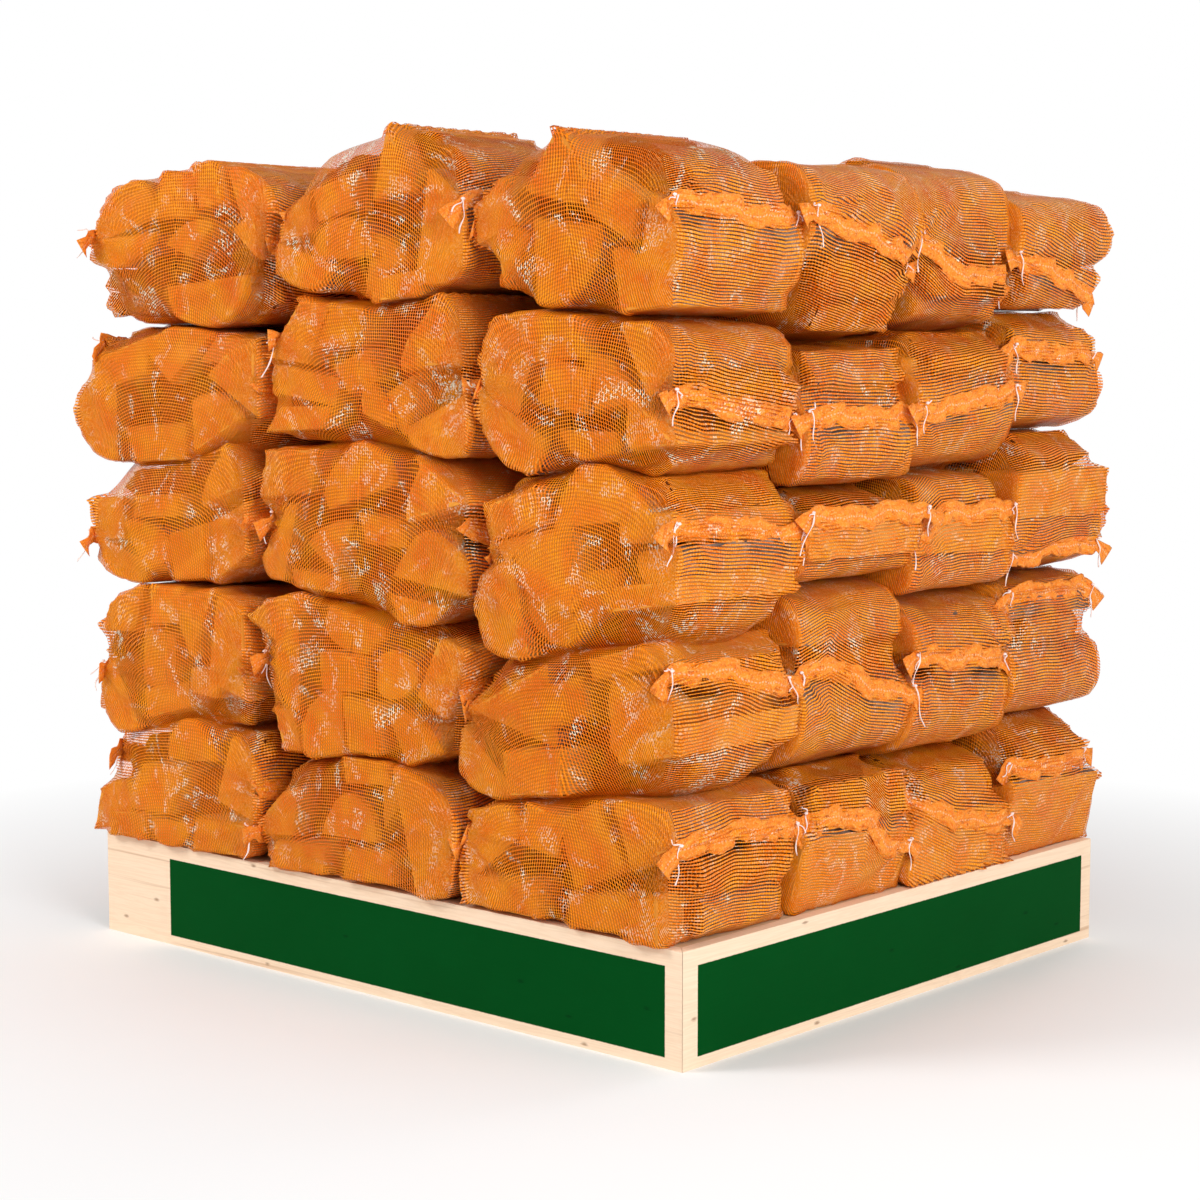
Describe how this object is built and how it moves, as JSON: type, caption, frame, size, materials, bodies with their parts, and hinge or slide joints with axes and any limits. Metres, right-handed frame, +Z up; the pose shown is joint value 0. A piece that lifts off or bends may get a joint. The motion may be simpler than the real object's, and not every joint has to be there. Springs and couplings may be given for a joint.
{
  "type": "pallet of kiln-dried beech logs",
  "caption": "Net bags of split, kiln-dried beech logs stacked on a low wooden base with a closed board skirt.",
  "frame": {"origin": "middle of the base's underside, on the middle bearer", "axes": "+Z up, +X along the base's long side, +Y along the logs, so their sawn ends face -Y and +Y"},
  "size_m": [1.262, 1.038, 1.2344],
  "materials": {
    "orange_net": "knitted plastic net",
    "net_hem": "folded and sewn net",
    "tie_string": "twisted string",
    "split_beech": "split and sawn, rough",
    "pine_boards": "planed, with green paint on the outer faces",
    "plywood": "sanded sheet"
  },
  "bodies": {
    "root": {"skirt_front": "pine_boards", "skirt_right": "pine_boards", "skirt_back": "pine_boards", "skirt_left": "pine_boards", "pallet_deck": "plywood", "bearer_left": "pine_boards", "bearer_middle": "pine_boards", "bearer_right": "pine_boards", "log_bag_A1_row1": "orange_net", "log_bag_A2_row1": "orange_net", "log_bag_A3_row1": "orange_net", "log_bag_A4_row1": "orange_net", "log_bag_A5_row1": "orange_net", "log_bag_B1_row1": "orange_net", "log_bag_B2_row1": "orange_net", "log_bag_B3_row1": "orange_net", "log_bag_B4_row1": "orange_net", "log_bag_B5_row1": "orange_net", "log_bag_C1_row1": "orange_net", "log_bag_C2_row1": "orange_net", "log_bag_C3_row1": "orange_net", "log_bag_C4_row1": "orange_net", "log_bag_C5_row1": "orange_net", "log_bag_A1_row2": "orange_net", "log_bag_A2_row2": "orange_net", "log_bag_A3_row2": "orange_net", "log_bag_A4_row2": "orange_net", "log_bag_A5_row2": "orange_net", "inner_bags_row2": "orange_net", "log_bag_C1_row2": "orange_net", "log_bag_C2_row2": "orange_net", "log_bag_C3_row2": "orange_net", "log_bag_C4_row2": "orange_net", "log_bag_C5_row2": "orange_net", "log_bag_A1_row3": "orange_net", "log_bag_A2_row3": "orange_net", "log_bag_A3_row3": "orange_net", "log_bag_A4_row3": "orange_net", "log_bag_A5_row3": "orange_net", "inner_bags_row3": "orange_net", "log_bag_C1_row3": "orange_net", "log_bag_C2_row3": "orange_net", "log_bag_C3_row3": "orange_net", "log_bag_C4_row3": "orange_net", "log_bag_C5_row3": "orange_net", "log_bag_A1_row4": "orange_net", "log_bag_A2_row4": "orange_net", "log_bag_A3_row4": "orange_net", "log_bag_A4_row4": "orange_net", "log_bag_A5_row4": "orange_net", "log_bag_B1_row4": "orange_net", "log_bag_B2_row4": "orange_net", "log_bag_B3_row4": "orange_net", "log_bag_B4_row4": "orange_net", "log_bag_B5_row4": "orange_net", "log_bag_C1_row4": "orange_net", "log_bag_C2_row4": "orange_net", "log_bag_C3_row4": "orange_net", "log_bag_C4_row4": "orange_net", "log_bag_C5_row4": "orange_net"}
  },
  "joints": []
}
